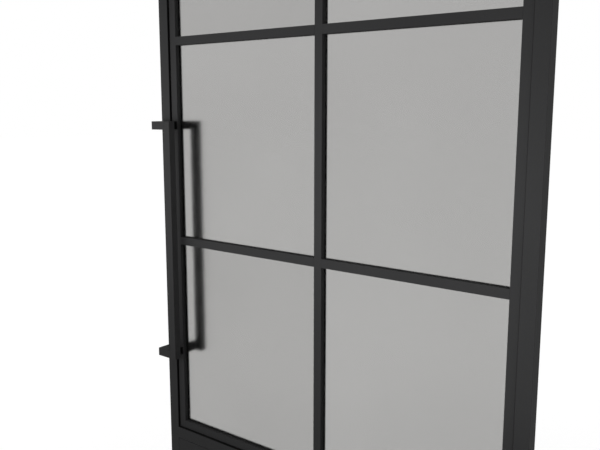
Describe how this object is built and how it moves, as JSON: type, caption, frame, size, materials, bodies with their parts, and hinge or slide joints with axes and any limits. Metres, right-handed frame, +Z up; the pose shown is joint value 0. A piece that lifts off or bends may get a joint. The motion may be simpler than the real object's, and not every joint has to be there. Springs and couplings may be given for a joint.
{
  "type": "glass door",
  "caption": "Satin glass door leaf with slim black glazing bars in a square-tube frame, hinged at the right, with a tall square pull handle and a flush lower panel.",
  "frame": {"origin": "on the floor under the middle of the frame, at half of the tube's depth", "axes": "+X to the right seen from the front, +Y into the wall, +Z up"},
  "size_m": [0.972, 0.109, 2.0635],
  "materials": {
    "frame_paint": "matt black powder coat",
    "panel_paint": "matt black powder coat",
    "handle_paint": "matt black powder coat",
    "satin_glass": "acid-etched satin glass",
    "rubber": "black rubber",
    "black_plastic": "matt black plastic",
    "fastener_steel": "blackened steel",
    "brass": "plain brass",
    "core_board": "fibreboard with a black face film",
    "magnet_case": "matt black case over a magnet"
  },
  "bodies": {
    "frame": {"base_panel": "panel_paint", "catch_magnet": "magnet_case", "head": "frame_paint", "hinge_frame_knuckle_lower": "frame_paint", "hinge_frame_knuckle_upper": "frame_paint", "hinge_frame_screws": "fastener_steel", "hinge_pin_lower": "fastener_steel", "hinge_pin_upper": "fastener_steel", "hinge_washer_lower": "brass", "hinge_washer_upper": "brass", "panel_beads": "frame_paint", "panel_core": "core_board", "post_caps": "black_plastic", "post_feet": "black_plastic", "post_left": "frame_paint", "post_right": "frame_paint", "sill": "frame_paint", "stop_head": "frame_paint", "stop_hinge_side": "frame_paint", "stop_screws": "fastener_steel", "stop_seals": "rubber", "stop_transom": "frame_paint", "transom": "frame_paint"},
    "leaf": {"catch_keeper": "fastener_steel", "gasket_lower_left": "rubber", "gasket_lower_right": "rubber", "gasket_middle_left": "rubber", "gasket_middle_right": "rubber", "gasket_upper_left": "rubber", "gasket_upper_right": "rubber", "glazing_bar_lower_left": "frame_paint", "glazing_bar_lower_right": "frame_paint", "glazing_bar_middle_left": "frame_paint", "glazing_bar_middle_right": "frame_paint", "glazing_bar_upright": "frame_paint", "handle_bolts": "fastener_steel", "handle_bumpers": "rubber", "handle_front_block_lower": "handle_paint", "handle_front_block_upper": "handle_paint", "handle_front_grip": "handle_paint", "handle_rear_block_lower": "handle_paint", "handle_rear_block_upper": "handle_paint", "handle_rear_grip": "handle_paint", "hinge_leaf_knuckle_lower": "frame_paint", "hinge_leaf_knuckle_upper": "frame_paint", "hinge_leaf_screws": "fastener_steel", "leaf_corner_keys": "black_plastic", "leaf_rail_bottom": "frame_paint", "leaf_rail_top": "frame_paint", "leaf_stile_left": "frame_paint", "leaf_stile_plugs": "black_plastic", "leaf_stile_right": "frame_paint", "pane_lower_left": "satin_glass", "pane_lower_right": "satin_glass", "pane_middle_left": "satin_glass", "pane_middle_right": "satin_glass", "pane_upper_left": "satin_glass", "pane_upper_right": "satin_glass"}
  },
  "joints": [
    {"name": "leaf_swing", "type": "hinge", "parent": "frame", "child": "leaf", "pos_m": [0.45487, -0.0225, 0], "axis": [0, 0, 1], "range_deg": [0, 110]}
  ]
}
